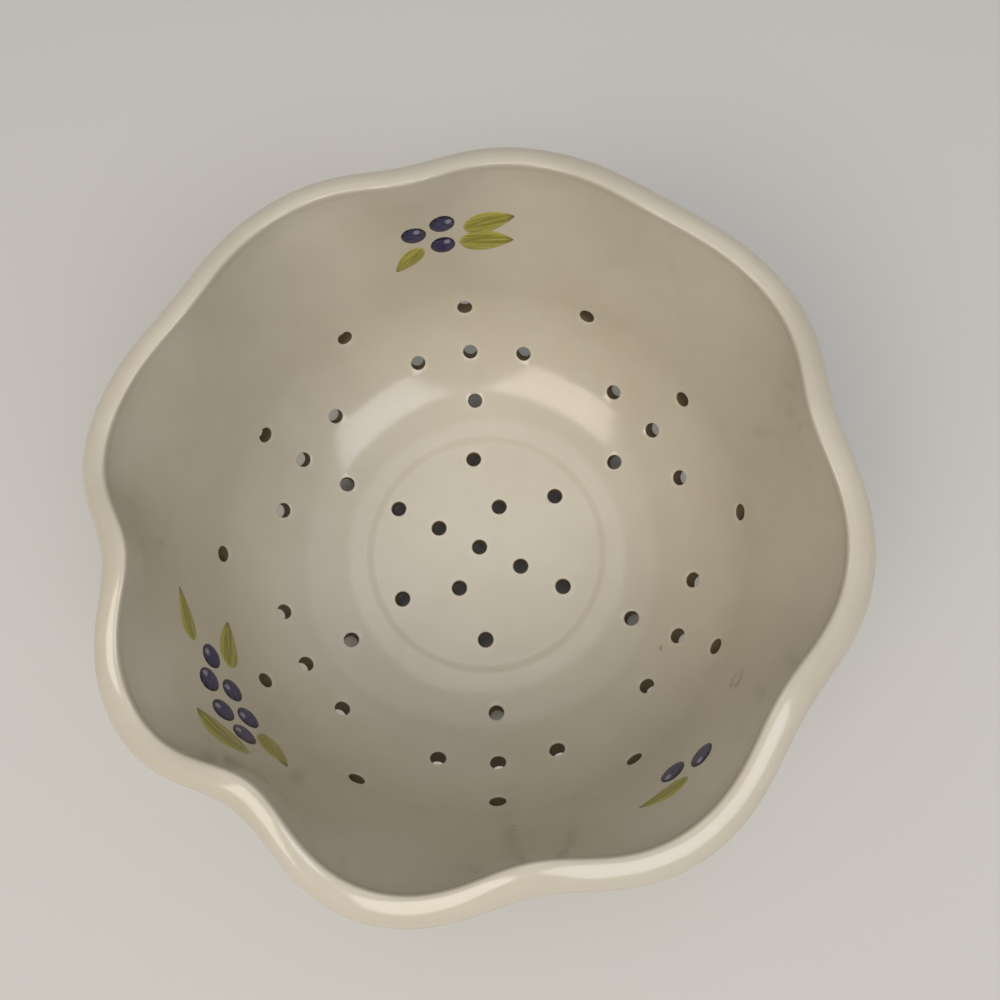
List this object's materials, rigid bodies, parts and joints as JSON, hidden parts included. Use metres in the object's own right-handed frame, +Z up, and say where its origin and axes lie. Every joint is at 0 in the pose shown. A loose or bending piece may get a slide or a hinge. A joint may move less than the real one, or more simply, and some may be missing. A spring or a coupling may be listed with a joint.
{
  "type": "berry colander bowl",
  "caption": "Glazed stoneware colander bowl with a fluted wavy lip, drain holes in its floor and lower wall, a foot ring and painted berry sprigs, for rinsing and serving berries.",
  "frame": {"origin": "centre of the foot ring's resting face, on the bowl's axis", "axes": "+Z up along the bowl's axis, -Y towards the front of the picture, +X to its right"},
  "size_m": [0.2131, 0.2132, 0.1085],
  "materials": {
    "glaze": "glossy warm white glaze",
    "foot_clay": "glazed foot with a wiped resting face",
    "berry_blue": "indigo underglaze paint",
    "leaf_green": "olive green underglaze paint"
  },
  "bodies": {
    "root": {"bowl": "glaze", "foot_ring": "foot_clay", "back_berries": "berry_blue", "back_leaves": "leaf_green", "left_berries": "berry_blue", "left_leaves": "leaf_green", "right_berries": "berry_blue", "right_leaves": "leaf_green"}
  },
  "joints": []
}
